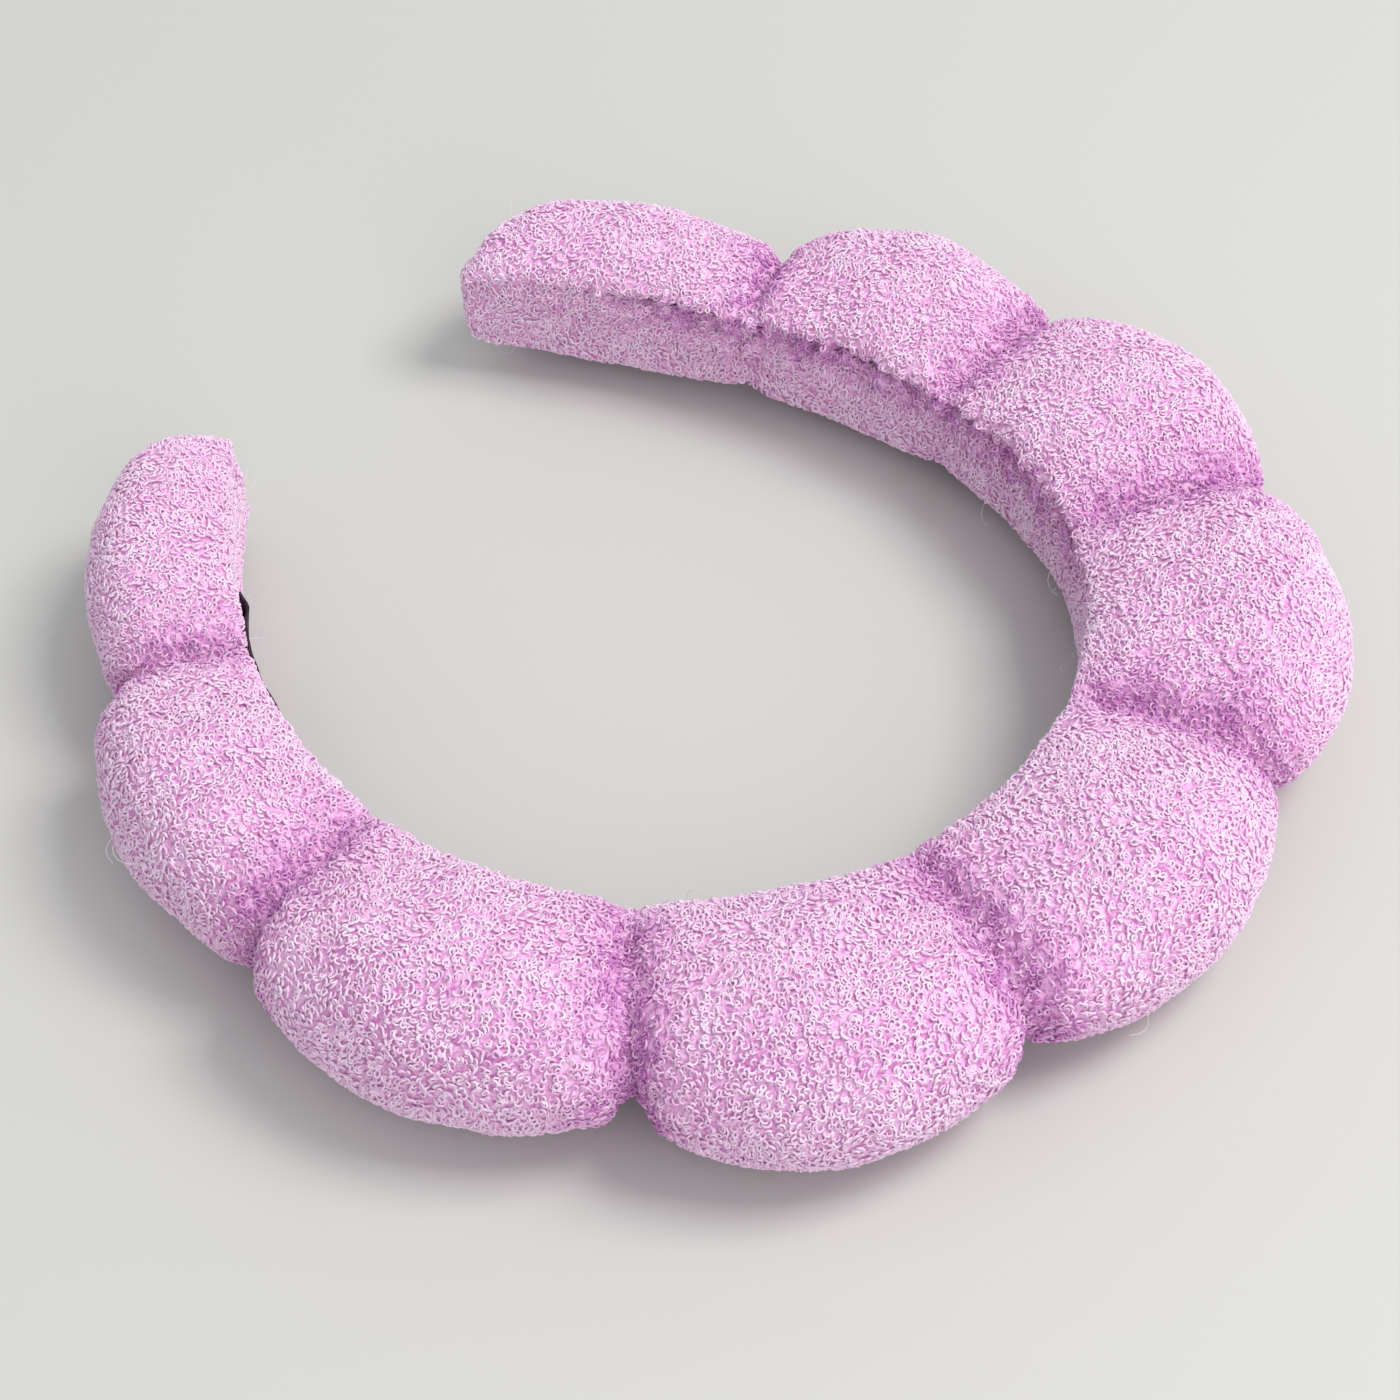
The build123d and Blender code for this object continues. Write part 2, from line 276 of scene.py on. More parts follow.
def grid_normals(points):
    """Outward unit normals of a grid whose first axis runs along the band."""
    along = np.gradient(points, axis=0)
    round_it = np.gradient(points, axis=1)
    return unit(np.cross(along, round_it))


cover_grid, cover_place, cover_share = band_grid(cover_points, COVER_ROWS)
lining_grid, lining_place, lining_share = band_grid(lining_points, LINING_ROWS)
cover_normals = grid_normals(cover_grid)
lining_normals = grid_normals(lining_grid)


def gathered(place):
    """How tightly the top seam is gathered at each place: the right arm only."""
    start, end = GATHER_PLACES
    return ramp(place, *start) * (1 - ramp(place, *end))


def to_crease_and_seam(place, share, on_cover):
    """Millimetres from each point to the nearest crease and to the top seam."""
    to_crease = np.abs(place - np.round(place)) * np.array(PUFF_LENGTHS, float)[puff_at(place)]
    to_seam = (1 - share) * COVER_GIRTH if on_cover else share * 2 * WALL_HALF
    return to_crease, to_seam


def tied(place, share, on_cover, slack):
    """How tightly each point's nearest crease is cinched: 1, save by slack at a seam, 0 at a tip."""
    nearness = np.abs(share - 0.5) * 2 if on_cover else np.ones_like(share)
    tightness = 1.0 - slack * ramp(nearness, SLACK_START, 1)
    return np.where((place > 0.5) & (place < PUFFS - 0.5), tightness, 0)


def painted_fold_shade(place, share, on_cover):
    """How deep each point lies in a crease or in the gathered seam, from 0 to 1: how much painted shade
    deepens the tone of the loops there.
    """
    to_crease, to_seam = to_crease_and_seam(place, share, on_cover)
    crease = tied(place, share, on_cover, SHADE_SLACK) * np.exp(-(to_crease / SHADE_WIDTH) ** 2)
    return np.maximum(crease, gathered(place) * np.exp(-(to_seam / SEAM_SHADE_WIDTH) ** 2))


def ruffle(grid, normals, place, share, on_cover):
    """Small dents, tight creases and gathers, as on a padded tube stuffed and tied by hand."""
    soft = (DENT_DEPTH * wave_noise(grid, DENT_SPACING, SEED)
            + FINE_DENT_DEPTH * wave_noise(grid, FINE_DENT_SPACING, SEED + 1))
    to_crease, to_seam = to_crease_and_seam(place, share, on_cover)
    tightness = tied(place, share, on_cover, GROOVE_SLACK)
    groove = tightness * GROOVE_DEPTH * np.exp(-(to_crease / GROOVE_WIDTH) ** 2)
    folds = (tightness * FOLD_DEPTH * np.exp(-(to_crease / FOLD_REACH) ** 2)
             * wave_noise(grid, FOLD_SPACING, SEED + 2))
    seam = mix(PLAIN_SEAM, 1, gathered(place))
    to_line = to_seam + SEAM_WANDER * wave_noise(grid, SEAM_WANDER_SPACING, SEED + 4)
    seam_dip = seam * SEAM_DEPTH * np.exp(-(to_line / SEAM_WIDTH) ** 2)
    gathers = (seam * SEAM_GATHER * np.exp(-(to_seam / GATHER_REACH) ** 2)
               * wave_noise(grid, GATHER_SPACING, SEED + 3))
    moved = grid + normals * (soft + folds + gathers - groove - seam_dip)[..., None]
    moved[..., 2] = np.maximum(moved[..., 2], FLOOR_GAP)
    return moved


cover_grid = ruffle(cover_grid, cover_normals, cover_place, cover_share, True)
lining_grid = ruffle(lining_grid, lining_normals, lining_place, lining_share, False)
cover_normals = grid_normals(cover_grid)
lining_normals = grid_normals(lining_grid)
# How much painted shade deepens the loops in the creases and the gathered seam.
cover_painted_shade = painted_fold_shade(cover_place, cover_share, True)
cover_bare = np.zeros(cover_place.shape, bool)
lining_painted_shade = painted_fold_shade(lining_place, lining_share, False)
lining_bare = ((lining_place > BARE_PLACES[0]) & (lining_place < BARE_PLACES[1])
               & (lining_share > BARE_ROWS[0]) & (lining_share < BARE_ROWS[1]))


# ------------------------------------------------------------------ meshes from arrays

def new_object(name, points, faces, materials, tones=None):
    """A smooth object with its place in its mesh, from points in millimetres and arrays of faces.
    tones picks a material for each face."""
    mesh = bpy.data.meshes.new(name)
    points = np.asarray(points, np.float32).reshape(-1, 3) * MM
    faces = np.asarray(faces, np.int32)
    corners = faces.shape[1]
    mesh.vertices.add(len(points))
    mesh.vertices.foreach_set("co", points.ravel())
    mesh.loops.add(faces.size)
    mesh.loops.foreach_set("vertex_index", faces.ravel())
    mesh.polygons.add(len(faces))
    mesh.polygons.foreach_set("loop_start", np.arange(0, faces.size, corners, dtype=np.int32))
    for material in materials:
        mesh.materials.append(material)
    if tones is not None:
        mesh.polygons.foreach_set("material_index", np.asarray(tones, np.int32))
    mesh.polygons.foreach_set("use_smooth", np.full(len(faces), True))
    mesh.update(calc_edges=True)
    mesh.validate()
    piece = bpy.data.objects.new(name, mesh)
    bpy.context.scene.collection.objects.link(piece)
    return piece


def grid_faces(columns, rows):
    """Quads of a grid of columns by rows points, facing outward."""
    index = np.arange(columns * rows).reshape(columns, rows)
    return np.stack([index[:-1, :-1], index[1:, :-1], index[1:, 1:], index[:-1, 1:]], -1).reshape(-1, 4)


# ------------------------------------------------------------------ materials

def nodes_of(name):
    """A new material, its nodes and links, and its shader node."""
    material = bpy.data.materials.new(name)
    material.use_nodes = True
    nodes, links = material.node_tree.nodes, material.node_tree.links
    return material, nodes, links, nodes["Principled BSDF"]


def texture_place(nodes):
    """Places in the object's own space, in metres."""
    return nodes.new("ShaderNodeTexCoord").outputs["Object"]


def noise(nodes, links, vector, scale, detail=3.0, distortion=0.0):
    """Noise from 0 to 1."""
    node = nodes.new("ShaderNodeTexNoise")
    node.inputs["Scale"].default_value = scale
    node.inputs["Detail"].default_value = detail
    node.inputs["Roughness"].default_value = 0.5
    node.inputs["Distortion"].default_value = distortion
    links.new(vector, node.inputs["Vector"])
    return node.outputs["Fac"]


def colour_ramp(nodes, links, fac, stops):
    """Colours along stops, each a position and a colour."""
    node = nodes.new("ShaderNodeValToRGB")
    elements = node.color_ramp.elements
    while len(elements) < len(stops):
        elements.new(0.5)
    for element, (position, colour) in zip(elements, stops):
        element.position = position
        element.color = colour
    links.new(fac, node.inputs["Fac"])
    return node.outputs["Color"]


MAZE_SCALE = 900             # texture waves to a metre
PATCH_SCALE = 60
PATCH_SHARE = 0.25
LINT_SCALE = 3500


def cloth_material(name, dark, mid, light):
    """Terry ground cloth: a looped maze of light ribs over a deeper ground, with soft patches. The
    deeper ground, darker than the yarn and low where the maze's bump is low, is painted shade between
    the loops; the soft patches are tone that differs at random.
    """
    material, nodes, links, shader = nodes_of(name)
    vector = texture_place(nodes)
    maze = noise(nodes, links, vector, MAZE_SCALE, detail=2, distortion=1.2)
    patches = noise(nodes, links, vector, PATCH_SCALE, detail=2)
    lint = noise(nodes, links, vector, LINT_SCALE, detail=2)
    blend = nodes.new("ShaderNodeMath")
    blend.operation = "MULTIPLY_ADD"
    blend.inputs[1].default_value = PATCH_SHARE
    links.new(patches, blend.inputs[0])
    links.new(maze, blend.inputs[2])
    # Low in the maze, where the bump sinks, the ground is darkest: painted shade between the ribs.
    colour = colour_ramp(nodes, links, blend.outputs["Value"],
                         [(0.45, dark), (0.6, mid), (0.78, light)])
    links.new(colour, shader.inputs["Base Color"])
    rough = nodes.new("ShaderNodeMapRange")
    rough.inputs["To Min"].default_value = 0.8
    rough.inputs["To Max"].default_value = 1.0
    links.new(lint, rough.inputs["Value"])
    links.new(rough.outputs["Result"], shader.inputs["Roughness"])
    bump = nodes.new("ShaderNodeBump")
    bump.inputs["Strength"].default_value = 0.6
    bump.inputs["Distance"].default_value = 0.0004
    links.new(maze, bump.inputs["Height"])
    links.new(bump.outputs["Normal"], shader.inputs["Normal"])
    shader.inputs["Sheen Weight"].default_value = 0.1
    shader.inputs["Sheen Roughness"].default_value = 0.5
    shader.inputs["Specular IOR Level"].default_value = 0.2
    return material


def yarn_material(name, colour):
    """One tone of the looped pile's cotton yarn."""
    material, _, _, shader = nodes_of(name)
    shader.inputs["Base Color"].default_value = colour
    shader.inputs["Roughness"].default_value = 0.8
    shader.inputs["Specular IOR Level"].default_value = 0.15
    return material


# The ground tones are darker than the yarn's: painted shade between the loops.
COVER_CLOTH = cloth_material("terry_ground", (0.55, 0.20, 0.46, 1), (0.76, 0.38, 0.67, 1),
                             (0.89, 0.58, 0.83, 1))
LINING_CLOTH = cloth_material("lining_ground", (0.53, 0.20, 0.45, 1), (0.74, 0.37, 0.65, 1),
                              (0.87, 0.56, 0.81, 1))
# The two deepest tones are painted shade, taken almost only by loops in a crease or the gathered seam;
# the next two serve both as painted shade there and as tone that differs at random.
YARN_COLOURS = {
    "yarn_crease_shade": (0.61, 0.25, 0.58, 1),
    "yarn_shade": (0.74, 0.39, 0.69, 1),
    "yarn_deep": (0.84, 0.53, 0.78, 1),
    "yarn_pink": (0.88, 0.60, 0.82, 1),
    "yarn_mid": (0.91, 0.66, 0.86, 1),
    "yarn_pale": (0.93, 0.72, 0.89, 1),
    "yarn_light": (0.94, 0.76, 0.91, 1),
}
YARN_TONES = [yarn_material(name, colour) for name, colour in YARN_COLOURS.items()]
SPONGE_CELL_SCALE = 1400


def sponge_material():
    """Open-cell foam: pale walls round cells that darken towards their pits, a painted shade in the
    hollows.
    """
    material, nodes, links, shader = nodes_of("cream_sponge")
    vector = texture_place(nodes)
    cells = nodes.new("ShaderNodeTexVoronoi")
    cells.inputs["Scale"].default_value = SPONGE_CELL_SCALE
    links.new(vector, cells.inputs["Vector"])
    # Dark at each cell's middle, where the bump is lowest: painted shade in the pit.
    colour = colour_ramp(nodes, links, cells.outputs["Distance"],
                         [(0.0, (0.42, 0.36, 0.27, 1)), (0.35, (0.80, 0.75, 0.63, 1)),
                          (0.8, (0.88, 0.85, 0.76, 1))])
    links.new(colour, shader.inputs["Base Color"])
    bump = nodes.new("ShaderNodeBump")
    bump.inputs["Distance"].default_value = 0.0005
    links.new(cells.outputs["Distance"], bump.inputs["Height"])
    links.new(bump.outputs["Normal"], shader.inputs["Normal"])
    shader.inputs["Roughness"].default_value = 0.95
    return material


def streaked_material(name, dark, light, scale, rough, bump_height):
    """Thread, woven tape or moulded plastic: fine streaks of two close tones."""
    material, nodes, links, shader = nodes_of(name)
    vector = texture_place(nodes)
    wave = nodes.new("ShaderNodeTexWave")
    wave.inputs["Scale"].default_value = scale
    wave.inputs["Distortion"].default_value = 2.0
    wave.inputs["Detail"].default_value = 2.0
    links.new(vector, wave.inputs["Vector"])
    colour = colour_ramp(nodes, links, wave.outputs["Fac"], [(0.2, dark), (0.8, light)])
    links.new(colour, shader.inputs["Base Color"])
    speckle = noise(nodes, links, vector, scale * 2)
    rough_range = nodes.new("ShaderNodeMapRange")
    rough_range.inputs["To Min"].default_value = rough - 0.08
    rough_range.inputs["To Max"].default_value = rough + 0.08
    links.new(speckle, rough_range.inputs["Value"])
    links.new(rough_range.outputs["Result"], shader.inputs["Roughness"])
    bump = nodes.new("ShaderNodeBump")
    bump.inputs["Distance"].default_value = bump_height
    links.new(wave.outputs["Fac"], bump.inputs["Height"])
    links.new(bump.outputs["Normal"], shader.inputs["Normal"])
    return material


SPONGE = sponge_material()
THREAD = streaked_material("pink_thread", (0.66, 0.28, 0.54, 1), (0.82, 0.44, 0.70, 1),
                           scale=900, rough=0.7, bump_height=0.00015)
HOOP = streaked_material("white_plastic", (0.72, 0.72, 0.70, 1), (0.80, 0.80, 0.78, 1),
                         scale=60, rough=0.4, bump_height=0.00002)
LABEL = streaked_material("dark_label", (0.022, 0.006, 0.015, 1), (0.060, 0.022, 0.044, 1),
                          scale=700, rough=0.75, bump_height=0.0001)


# ------------------------------------------------------------------ the looped pile

LOOP_AREA = 0.78             # square millimetres of cloth to one loop
LOOP_RINGS = 6
LOOP_SIDES = 4
LOOP_HALF_WIDTHS = (0.34, 0.54)
LOOP_HEIGHTS = (0.40, 0.70)
LOOP_REACHES = (0.6, 0.9)    # how far round each foot curls, in half turns
LOOP_LEANS = (0.5, 1.25)     # how far over a loop leans, against its own width
LOOP_TWIST = 0.12
LOOP_ROOT = 0.15             # how far below the cloth a loop starts
GRAIN_TURN = 1.8             # how far, in radians, patches of loops turn together
GRAIN_SPACING = 14
YARN_RADIUS = 0.19
YARN_RADIUS_SPREAD = (0.85, 1.15)
TONE_MIDDLE = 4.0            # an index in YARN_TONES
TONE_DROP = 3.3              # how much deeper the tone is at the bottom of a fold: painted shade
TONE_PATCHES = 0.3
TONE_PATCH_SPACING = 9
TONE_SPREAD = 0.9
FIBRES = 4                   # loose fibres on one piece
FIBRE_RADIUS = 0.035
FIBRE_LENGTHS = (2.5, 7.0)
FIBRE_RISE = 0.55            # how high and how far sideways a fibre goes, against its length
FIBRE_SPREAD = 0.8
FIBRE_BEND = 2.2             # radians
PILE_CLEARANCE = 0.03        # above the floor


def sample_grid(values, column, row):
    """Values of a grid between its points, by two-way interpolation."""
    i = np.clip(column.astype(int), 0, values.shape[0] - 2)
    j = np.clip(row.astype(int), 0, values.shape[1] - 2)
    a, b = (column - i)[:, None], (row - j)[:, None]
    return ((values[i, j] * (1 - a) + values[i + 1, j] * a) * (1 - b)
            + (values[i, j + 1] * (1 - a) + values[i + 1, j + 1] * a) * b)


def loop_paths(roots, normals, along, rng):
    """Centre lines of yarn loops: each rises from its root, turns over and comes back down."""
    count = len(roots)
    turn = GRAIN_TURN * wave_noise(roots, GRAIN_SPACING, SEED + 5) + rng.normal(0, 1.0, count)
    side = unit(np.cross(normals, along))
    forward = unit(np.cross(side, normals))
    across = forward * np.cos(turn)[:, None] + side * np.sin(turn)[:, None]
    over = np.cross(normals, across)
    width = rng.uniform(*LOOP_HALF_WIDTHS, count)
    reach = rng.uniform(*LOOP_REACHES, count) * math.pi
    lean = width * (1 - np.cos(reach)) * rng.uniform(*LOOP_LEANS, count)
    height = rng.uniform(*LOOP_HEIGHTS, count)
    twist = rng.normal(0, LOOP_TWIST, count)
    paths = []
    for share in np.linspace(-1, 1, LOOP_RINGS):
        angle = reach * share
        rise = (np.cos(angle) - np.cos(reach)) / (1 - np.cos(reach))
        paths.append(roots + across * (width * np.sin(angle) + twist * share)[:, None]
                     + over * (lean * (rise - 0.5))[:, None]
                     + normals * (height * np.sqrt(np.maximum(rise, 0)) - LOOP_ROOT)[:, None])
    return np.stack(paths, 1)


def tubes(paths, radii, side_count):
    """Points and faces of thin tubes along centre lines, and how many faces each tube has."""
    count, rings = paths.shape[:2]
    tangent = unit(np.gradient(paths, axis=1))
    axis = unit(paths[:, -1] - paths[:, 0] + 1e-6)
    middle = paths[:, rings // 2] - paths[:, 0]
    helper = unit(np.cross(axis, middle) + 1e-9)
    normal = unit(np.cross(tangent, np.repeat(helper[:, None], rings, 1)) + 1e-9)
    binormal = np.cross(tangent, normal)
    rounds = []
    for side in range(side_count):
        angle = 2 * math.pi * side / side_count
        rounds.append(paths + (normal * math.cos(angle) + binormal * math.sin(angle))
                      * radii[:, None, None])
    points = np.stack(rounds, 2)
    index = np.arange(count * rings * side_count).reshape(count, rings, side_count)
    here, there = index[:, :-1], index[:, 1:]
    faces = np.stack([here, np.roll(here, -1, 2), np.roll(there, -1, 2), there], -1)
    return points.reshape(-1, 3), faces.reshape(-1, 4), (rings - 1) * side_count


def fibre_paths(roots, normals, rng):
    """Centre lines of the few loose fibres that stand off the pile in long curves."""
    sideways = unit(np.cross(normals, rng.normal(size=roots.shape)))
    length = rng.uniform(*FIBRE_LENGTHS, len(roots))
    shares = np.linspace(0, 1, LOOP_RINGS)
    rise = FIBRE_RISE * np.sin(shares * FIBRE_BEND)
    return (roots[:, None] + normals[:, None] * (length[:, None] * rise)[..., None]
            + sideways[:, None] * (length[:, None] * shares ** 1.5 * FIBRE_SPREAD)[..., None])


def pile(name, points, normals, folds, bare, seed):
    """Yarn loops over part of a grid, save where it is bare, and a few loose fibres. folds weights the
    painted shade that deepens the loops' tone in creases and the gathered seam.
    """
    rng = np.random.default_rng(seed)
    across_cell = np.cross(points[1:, 1:] - points[:-1, :-1], points[:-1, 1:] - points[1:, :-1])
    area = np.linalg.norm(across_cell, axis=-1) / 2
    counts = np.floor(area / LOOP_AREA + rng.random(area.shape)).astype(int)
    counts[bare[:-1, :-1]] = 0
    columns, rows = np.nonzero(counts)
    repeats = counts[columns, rows]
    columns, rows = np.repeat(columns, repeats), np.repeat(rows, repeats)
    u = columns + rng.random(len(columns))
    v = rows + rng.random(len(rows))
    roots = sample_grid(points, u, v)
    up = unit(sample_grid(normals, u, v))
    along = unit(sample_grid(np.gradient(points, axis=0), u, v))
    radii = rng.uniform(*YARN_RADIUS_SPREAD, len(roots)) * YARN_RADIUS
    loop_points, loop_faces, faces_each = tubes(loop_paths(roots, up, along, rng), radii, LOOP_SIDES)
    # Loops in a crease or the gathered seam take deeper tones: painted shade.
    painted_shade = sample_grid(folds[..., None], u, v)[:, 0]
    tone = (TONE_MIDDLE - TONE_DROP * painted_shade
            + TONE_PATCHES * wave_noise(roots, TONE_PATCH_SPACING, SEED + 7)
            + rng.normal(0, TONE_SPREAD, len(roots)))
    tone = np.clip(np.round(tone), 0, len(YARN_TONES) - 1)
    loose = rng.choice(len(roots), FIBRES, replace=False)
    fibre_points, fibre_faces, _ = tubes(fibre_paths(roots[loose], up[loose], rng),
                                         np.full(FIBRES, FIBRE_RADIUS), LOOP_SIDES)
    all_points = np.concatenate([loop_points, fibre_points])
    all_points[:, 2] = np.maximum(all_points[:, 2], PILE_CLEARANCE)
    all_faces = np.concatenate([loop_faces, fibre_faces + len(loop_points)])
    all_tones = np.concatenate([np.repeat(tone, faces_each),
                                np.full(len(fibre_faces), len(YARN_TONES) - 1)])
    return new_object(name, all_points, all_faces, YARN_TONES, all_tones)


# ------------------------------------------------------------------ the pieces of the band


def attach(piece, crease):
    """Rides the tip puff, or, at a crease, keeps its placing baked into its mesh and rides no body."""
    if crease == 0:
        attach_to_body(piece, PUFF_NAMES[0])
    elif crease == PUFFS:
        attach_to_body(piece, PUFF_NAMES[-1])
    else:
        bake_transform(piece)


def columns_of(crease):
    """The grid columns of one piece, from the middle of one puff to the middle of the next."""
    half = COLUMNS // 2
    first = CAP_RINGS + crease * COLUMNS - half
    last = CAP_RINGS + crease * COLUMNS + half
    if crease == 0:
        first = 0
    if crease == PUFFS:
        last = CAP_RINGS * 2 + PUFFS * COLUMNS
    return slice(first, last + 1)


STITCH_LENGTH = 3.0
STITCH_STEPS = 8
STITCH_DIP = 0.15
SEAM_YARN = 0.25
SEAM_SUNK = 0.55             # the sewing lies this far below the cloth, under the pile
TIE_SUNK = 0.9
TIE_YARN = 0.25
TIE_ROWS = slice(8, -8)      # a tie stops this many rows short of each seam
THREAD_SIDES = 6


def seam_threads(name, part):
    """The sewing of the top and bottom seams, rising and dipping once to a stitch."""
    lines = []
    for row in (-1, 0):
        edge, normals = cover_grid[part, row], cover_normals[part, row]
        travel = np.concatenate([[0], np.cumsum(np.linalg.norm(np.diff(edge, axis=0), axis=1))])
        steps = np.linspace(0, travel[-1], int(travel[-1] / STITCH_LENGTH * STITCH_STEPS))
        line = np.stack([np.interp(steps, travel, edge[:, axis]) for axis in range(3)], -1)
        facing = unit(np.stack([np.interp(steps, travel, normals[:, axis]) for axis in range(3)], -1))
        dip = SEAM_SUNK + STITCH_DIP * np.sin(steps * 2 * math.pi / STITCH_LENGTH)
        lines.append(line - facing * dip[:, None])
    shortest = min(len(line) for line in lines)
    return thread_object(name, np.stack([line[:shortest] for line in lines]), SEAM_YARN)


def tie(name, crease):
    """The thread that cinches a crease, round the outside from seam to seam."""
    column = CAP_RINGS + crease * COLUMNS
    line = cover_grid[column, TIE_ROWS] - cover_normals[column, TIE_ROWS] * TIE_SUNK
    return thread_object(name, line[None], TIE_YARN)


def thread_object(name, lines, radius):
    """Threads along centre lines, as one object."""
    points, faces, _ = tubes(lines, np.full(len(lines), radius), THREAD_SIDES)
    return new_object(name, points, faces, [THREAD])


for crease in range(PUFFS + 1):
    part = columns_of(crease)
    nodes_near = [PUFF_NAMES[puff] for puff in (crease - 1, crease) if 0 <= puff < PUFFS]
    cover = cover_grid[part]
    cover_piece = new_object(f"cover_cloth_{crease}", cover, grid_faces(*cover.shape[:2]), [COVER_CLOTH])
    lining = lining_grid[part]
    lining_piece = new_object(f"lining_cloth_{crease}", lining, grid_faces(*lining.shape[:2]),
                              [LINING_CLOTH])
    pile_piece = pile(f"cover_pile_{crease}", cover, cover_normals[part], cover_painted_shade[part],
                      cover_bare[part], SEED + 30 + crease)
    lining_pile = pile(f"lining_pile_{crease}", lining, lining_normals[part], lining_painted_shade[part],
                       lining_bare[part], SEED + 60 + crease)
    sewing = seam_threads(f"seam_sewing_{crease}", part)
    attach(sewing, crease)
    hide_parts(*[f"seam_threads_{name}" for name in nodes_near])
    if 0 < crease < PUFFS:
        tie_piece = tie(f"cinch_tie_{crease}", crease)
        attach(tie_piece, crease)
        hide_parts(f"tie_{crease}")
    for piece, kind in ((cover_piece, "cover"), (pile_piece, "cover"),
                        (lining_piece, "lining"), (lining_pile, "lining")):
        attach(piece, crease)
        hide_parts(*[f"{kind}_{name}" for name in nodes_near])


# ------------------------------------------------------------------ sponge pads

PAD_INSET = 3.2              # a pad's skin lies this far inside the cloth
PAD_STEP = 2                 # columns and rows of the cloth's grid to one of the pad's
PAD_END_RINGS = 3            # rings over which each end rounds off
PAD_END_SIZE = 0.02


def pad_rings(puff):
    """Closed rings of one puff's pad, from one crease to the next."""
    first = CAP_RINGS + puff * COLUMNS
    columns = range(first + PAD_STEP, first + COLUMNS - 1, PAD_STEP)
    rings = []
    for order, column in enumerate(columns):
        ring = np.concatenate([cover_grid[column, ::PAD_STEP],
                               lining_grid[column, PAD_STEP:-PAD_STEP:PAD_STEP]])
        centre = ring.mean(0)
        spokes = ring - centre
        length = np.linalg.norm(spokes, axis=1, keepdims=True)
        from_end = min(order, len(columns) - 1 - order)
        end_round = math.sqrt(1 - (1 - min(from_end, PAD_END_RINGS) / PAD_END_RINGS) ** 2)
        rings.append(centre + spokes * (1 - PAD_INSET / length) * mix(PAD_END_SIZE, 1, end_round))
    return np.stack(rings)


for puff, name in enumerate(PUFF_NAMES):
    rings = pad_rings(puff)
    count, around = rings.shape[:2]
    index = np.arange(count * around).reshape(count, around)
    faces = np.stack([index[:-1], index[1:], np.roll(index[1:], -1, 1), np.roll(index[:-1], -1, 1)], -1)
    pad = new_object(f"sponge_pad_{name}", rings, faces.reshape(-1, 4), [SPONGE])
    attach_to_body(pad, name)
    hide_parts(f"foam_{name}")


# ------------------------------------------------------------------ the blank label

LABEL_TOP = 4.6
LABEL_FOOT = -4.0
LABEL_COLUMNS = 60
LABEL_ROWS = 14
LABEL_HALF_THICKNESS = 0.18
LABEL_CURLS = ((1.15, 0.77, 0.06), (0.45, 1.29, 0.07))   # how far off, at what place, how wide
LABEL_BUCKLE = 0.08
LABEL_EDGE_WAVE = 0.35


def label_points(skin):
    """One face of the woven strip, curled off the wall in two places along its top. skin is the
    face's distance from the strip's middle, towards the wall."""
    place = np.repeat(np.linspace(*LABEL_SPAN, LABEL_COLUMNS)[:, None], LABEL_ROWS, 1)
    up = np.repeat(np.linspace(0, 1, LABEL_ROWS)[None], LABEL_COLUMNS, 0)
    curl = sum(far * np.exp(-((place - middle) / width) ** 2) for far, middle, width in LABEL_CURLS)
    off = curl * up ** 1.5 + LABEL_BUCKLE * np.sin(place * 37)
    height = mix(LABEL_FOOT, LABEL_TOP, up) + LABEL_EDGE_WAVE * np.sin(place * 23) * up
    return placed(place, -off + skin, height)


front = label_points(-LABEL_HALF_THICKNESS)
back_side = label_points(LABEL_HALF_THICKNESS)
label_faces = grid_faces(LABEL_COLUMNS, LABEL_ROWS)
label_count = LABEL_COLUMNS * LABEL_ROWS
rim = np.concatenate([np.arange(LABEL_ROWS), np.arange(1, LABEL_COLUMNS) * LABEL_ROWS + LABEL_ROWS - 1,
                      label_count - 1 - np.arange(1, LABEL_ROWS),
                      np.arange(LABEL_COLUMNS - 2, 0, -1) * LABEL_ROWS])
rim_next = np.roll(rim, -1)
rim_faces = np.stack([rim, rim_next, rim_next + label_count, rim + label_count], -1)
label = new_object("label_strip", np.concatenate([front.reshape(-1, 3), back_side.reshape(-1, 3)]),
                   np.concatenate([label_faces[:, ::-1], label_faces + label_count, rim_faces]), [LABEL])
attach(label, 1)
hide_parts("label")

# ------------------------------------------------------------------ the pieces kept from the CAD

for node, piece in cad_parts.items():
    if node.startswith("hoop_"):
        piece.data.materials.clear()
        piece.data.materials.append(HOOP)

# ------------------------------------------------------------------ floor, light and camera

FLOOR_DROP = 0.2             # just below the band's lowest point

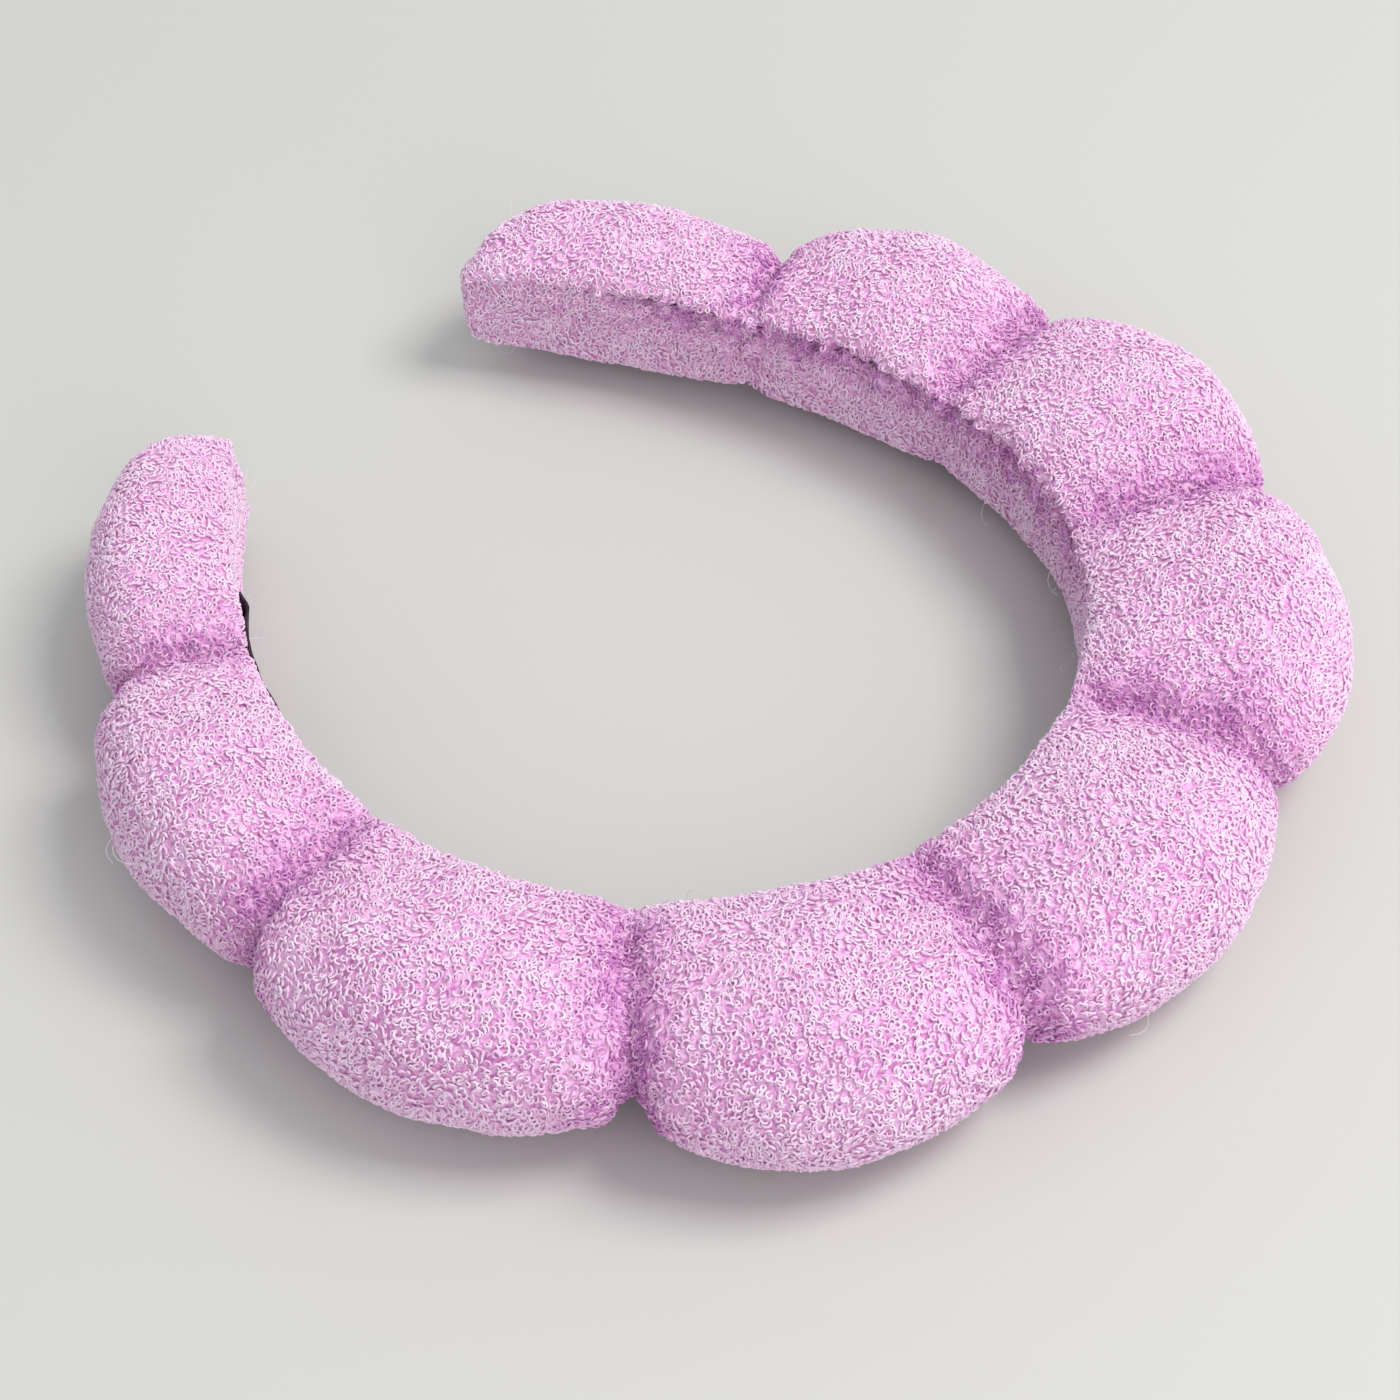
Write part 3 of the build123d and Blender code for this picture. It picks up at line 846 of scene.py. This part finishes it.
floor_material, _, _, floor_shader = nodes_of("pale_floor")
floor_shader.inputs["Base Color"].default_value = (0.62, 0.612, 0.585, 1)
floor_shader.inputs["Roughness"].default_value = 0.55
bpy.ops.mesh.primitive_plane_add(size=6, location=(0, 0, -FLOOR_DROP * MM))
floor = bpy.context.object
floor.name = "floor"
floor.data.materials.append(floor_material)

world = bpy.data.worlds.new("studio")
bpy.context.scene.world = world
world.use_nodes = True
background = world.node_tree.nodes["Background"]
background.inputs["Color"].default_value = (0.93, 0.97, 1.0, 1)
background.inputs["Strength"].default_value = 0.61
bpy.context.scene.view_settings.view_transform = "Standard"


def area_light(name, azimuth, elevation, distance, size, power, colour):
    """A soft square light that looks at the band from an azimuth and elevation in degrees."""
    a, e = math.radians(azimuth), math.radians(elevation)
    spot = Vector((math.cos(a) * math.cos(e), math.sin(a) * math.cos(e), math.sin(e))) * distance
    data = bpy.data.lights.new(name, "AREA")
    data.size = size
    data.energy = power
    data.color = colour
    light = bpy.data.objects.new(name, data)
    light.location = spot
    light.rotation_euler = (-spot).to_track_quat("-Z", "Y").to_euler()
    bpy.context.scene.collection.objects.link(light)


area_light("window", azimuth=-50, elevation=57, distance=1.6, size=0.7, power=15.6,
           colour=(1.0, 0.985, 0.96))
area_light("front_fill", azimuth=-115, elevation=30, distance=1.5, size=1.0, power=6,
           colour=(1.0, 1.0, 1.0))

CAMERA_AZIMUTH = -46.74
CAMERA_ELEVATION = 45.97
CAMERA_DISTANCE = 0.4566
CAMERA_ROLL = -3.7
CAMERA_LENS = 77.6
CAMERA_TARGET = Vector((-0.0115, -0.0075, 0.0145))
az, el, roll = (math.radians(v) for v in (CAMERA_AZIMUTH, CAMERA_ELEVATION, CAMERA_ROLL))
back = Vector((math.sin(az) * math.cos(el), -math.cos(az) * math.cos(el), math.sin(el)))
level = Vector((math.cos(az), math.sin(az), 0))
upright = back.cross(level)
right = level * math.cos(roll) + upright * math.sin(roll)
up = back.cross(right)
camera_data = bpy.data.cameras.new("camera")
camera_data.lens = CAMERA_LENS
camera_data.sensor_width = 36
camera = bpy.data.objects.new("camera", camera_data)
camera.matrix_world = (Matrix.Translation(CAMERA_TARGET + back * CAMERA_DISTANCE)
                       @ Matrix((right, up, back)).transposed().to_4x4())
bpy.context.scene.collection.objects.link(camera)
bpy.context.scene.camera = camera
